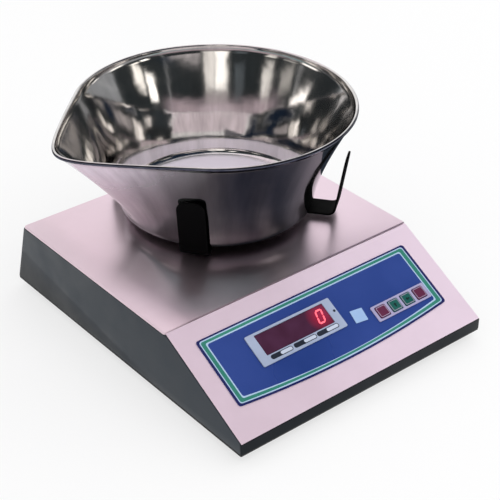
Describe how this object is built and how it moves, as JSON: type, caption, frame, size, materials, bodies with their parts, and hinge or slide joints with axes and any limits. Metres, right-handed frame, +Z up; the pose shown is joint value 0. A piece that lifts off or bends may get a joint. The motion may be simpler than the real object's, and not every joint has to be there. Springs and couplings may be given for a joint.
{
  "type": "electronic counter scale",
  "caption": "Wedge-shaped electronic counter scale with a six-digit display, four keys and a steel spout bowl in a strip cradle.",
  "frame": {"origin": "middle of the outer box's underside, on the table", "axes": "+X to the right as the user at the display sees it, +Y from the front lip to the back, +Z up"},
  "size_m": [0.3266, 0.3996, 0.2019],
  "materials": {
    "polished_steel": "polished",
    "pale_steel": "satin",
    "slate_paint": "satin",
    "black_paint": "satin",
    "black_coat": "satin",
    "blue_film": "satin",
    "pale_film": "satin",
    "red_filter": "gloss",
    "led_body": "matt",
    "board_green": "satin",
    "maroon_key": "satin",
    "green_key": "satin",
    "lavender_film": "satin",
    "sky_film": "gloss",
    "aluminium": "satin",
    "zinc_steel": "satin",
    "black_rubber": "matt",
    "black_plastic": "satin",
    "red_plastic": "gloss",
    "battery_case": "satin"
  },
  "bodies": {
    "base": {"housing": "slate_paint", "base_plate": "black_paint", "front_panel": "pale_steel", "overlay_label": "blue_film", "display_bezel": "pale_film", "display_window": "red_filter", "display_module": "led_body", "display_board": "board_green", "key_frame": "lavender_film", "key_board": "board_green", "corner_sticker": "sky_film", "main_board": "board_green", "battery": "battery_case", "battery_strap": "zinc_steel", "power_switch": "black_plastic", "charger_socket": "black_plastic", "housing_screw_1": "zinc_steel", "housing_screw_2": "zinc_steel", "housing_screw_3": "zinc_steel", "housing_screw_4": "zinc_steel", "lower_bolt_1": "zinc_steel", "lower_bolt_2": "zinc_steel", "load_beam": "zinc_steel", "lower_spacer": "aluminium", "load_cell": "aluminium", "overload_stop": "zinc_steel"},
    "weigh_carriage": {"upper_spacer": "aluminium", "spider": "zinc_steel", "upper_bolt_1": "zinc_steel", "upper_bolt_2": "zinc_steel", "pillar_1": "zinc_steel", "pillar_2": "zinc_steel", "pillar_3": "zinc_steel", "pillar_4": "zinc_steel", "pan_bush_1": "black_rubber", "pan_bush_2": "black_rubber", "pan_bush_3": "black_rubber", "pan_bush_4": "black_rubber"},
    "pan": {"pan": "pale_steel"},
    "cradle": {"cradle_strip_side": "black_coat", "cradle_strip_front": "black_coat", "cradle_rivet": "zinc_steel", "cradle_pad_1": "black_rubber", "cradle_pad_2": "black_rubber", "cradle_pad_3": "black_rubber", "cradle_pad_4": "black_rubber"},
    "bowl": {"bowl": "polished_steel"},
    "rocker": {"power_rocker": "red_plastic"},
    "key_left_maroon": {"key_left_maroon": "maroon_key"},
    "key_left_green": {"key_left_green": "green_key"},
    "key_right_green": {"key_right_green": "green_key"},
    "key_right_maroon": {"key_right_maroon": "maroon_key"},
    "foot_pad_1": {"foot_pad_1": "black_rubber"},
    "foot_screw_1": {"foot_screw_1": "zinc_steel"},
    "foot_pad_2": {"foot_pad_2": "black_rubber"},
    "foot_screw_2": {"foot_screw_2": "zinc_steel"},
    "foot_pad_3": {"foot_pad_3": "black_rubber"},
    "foot_screw_3": {"foot_screw_3": "zinc_steel"},
    "foot_pad_4": {"foot_pad_4": "black_rubber"},
    "foot_screw_4": {"foot_screw_4": "zinc_steel"}
  },
  "joints": [
    {"name": "weigh_travel", "type": "slide", "parent": "base", "child": "weigh_carriage", "axis": [0, 0, 1], "range_m": [-0.00025, 0], "stiffness_N_per_m": 400000, "springref_m": 0.0001},
    {"name": "pan_lift", "type": "slide", "parent": "weigh_carriage", "child": "pan", "axis": [0, 0, 1], "range_m": [0, 0.05]},
    {"name": "cradle_lift", "type": "slide", "parent": "pan", "child": "cradle", "axis": [0, 0, 1], "range_m": [0, 0.05]},
    {"name": "bowl_lift", "type": "slide", "parent": "cradle", "child": "bowl", "axis": [0, 0, 1], "range_m": [0, 0.12]},
    {"name": "rocker_tip", "type": "hinge", "parent": "base", "child": "rocker", "pos_m": [0.1417, 0.12217, 0.034], "axis": [0, 0, -1], "range_deg": [0, 13.75]},
    {"name": "key_left_maroon_press", "type": "slide", "parent": "base", "child": "key_left_maroon", "axis": [0, 0.4763, -0.8793], "range_m": [0, 0.0004], "stiffness_N_per_m": 4000, "springref_m": -0.0001},
    {"name": "key_left_green_press", "type": "slide", "parent": "base", "child": "key_left_green", "axis": [0, 0.4763, -0.8793], "range_m": [0, 0.0004], "stiffness_N_per_m": 4000, "springref_m": -0.0001},
    {"name": "key_right_green_press", "type": "slide", "parent": "base", "child": "key_right_green", "axis": [0, 0.4763, -0.8793], "range_m": [0, 0.0004], "stiffness_N_per_m": 4000, "springref_m": -0.0001},
    {"name": "key_right_maroon_press", "type": "slide", "parent": "base", "child": "key_right_maroon", "axis": [0, 0.4763, -0.8793], "range_m": [0, 0.0004], "stiffness_N_per_m": 4000, "springref_m": -0.0001},
    {"name": "foot_1_travel", "type": "slide", "parent": "base", "child": "foot_pad_1", "axis": [0, 0, 1], "range_m": [-0.00501, 0.00101]},
    {"name": "foot_1_turn", "type": "hinge", "parent": "foot_pad_1", "child": "foot_screw_1", "pos_m": [-0.1233, -0.16583, 0.005], "axis": [0, 0, 1], "range_deg": [-1440, 288]},
    {"name": "foot_2_travel", "type": "slide", "parent": "base", "child": "foot_pad_2", "axis": [0, 0, 1], "range_m": [-0.00501, 0.00101]},
    {"name": "foot_2_turn", "type": "hinge", "parent": "foot_pad_2", "child": "foot_screw_2", "pos_m": [0.1127, -0.16583, 0.005], "axis": [0, 0, 1], "range_deg": [-1440, 288]},
    {"name": "foot_3_travel", "type": "slide", "parent": "base", "child": "foot_pad_3", "axis": [0, 0, 1], "range_m": [-0.00501, 0.00101]},
    {"name": "foot_3_turn", "type": "hinge", "parent": "foot_pad_3", "child": "foot_screw_3", "pos_m": [-0.1233, 0.12817, 0.005], "axis": [0, 0, 1], "range_deg": [-1440, 288]},
    {"name": "foot_4_travel", "type": "slide", "parent": "base", "child": "foot_pad_4", "axis": [0, 0, 1], "range_m": [-0.00501, 0.00101]},
    {"name": "foot_4_turn", "type": "hinge", "parent": "foot_pad_4", "child": "foot_screw_4", "pos_m": [0.1127, 0.12817, 0.005], "axis": [0, 0, 1], "range_deg": [-1440, 288]}
  ],
  "couplings": [
    {"joint": "foot_1_travel", "follows": "foot_1_turn", "m_per_rad": 0.00019894},
    {"joint": "foot_2_travel", "follows": "foot_2_turn", "m_per_rad": 0.00019894},
    {"joint": "foot_3_travel", "follows": "foot_3_turn", "m_per_rad": 0.00019894},
    {"joint": "foot_4_travel", "follows": "foot_4_turn", "m_per_rad": 0.00019894}
  ]
}
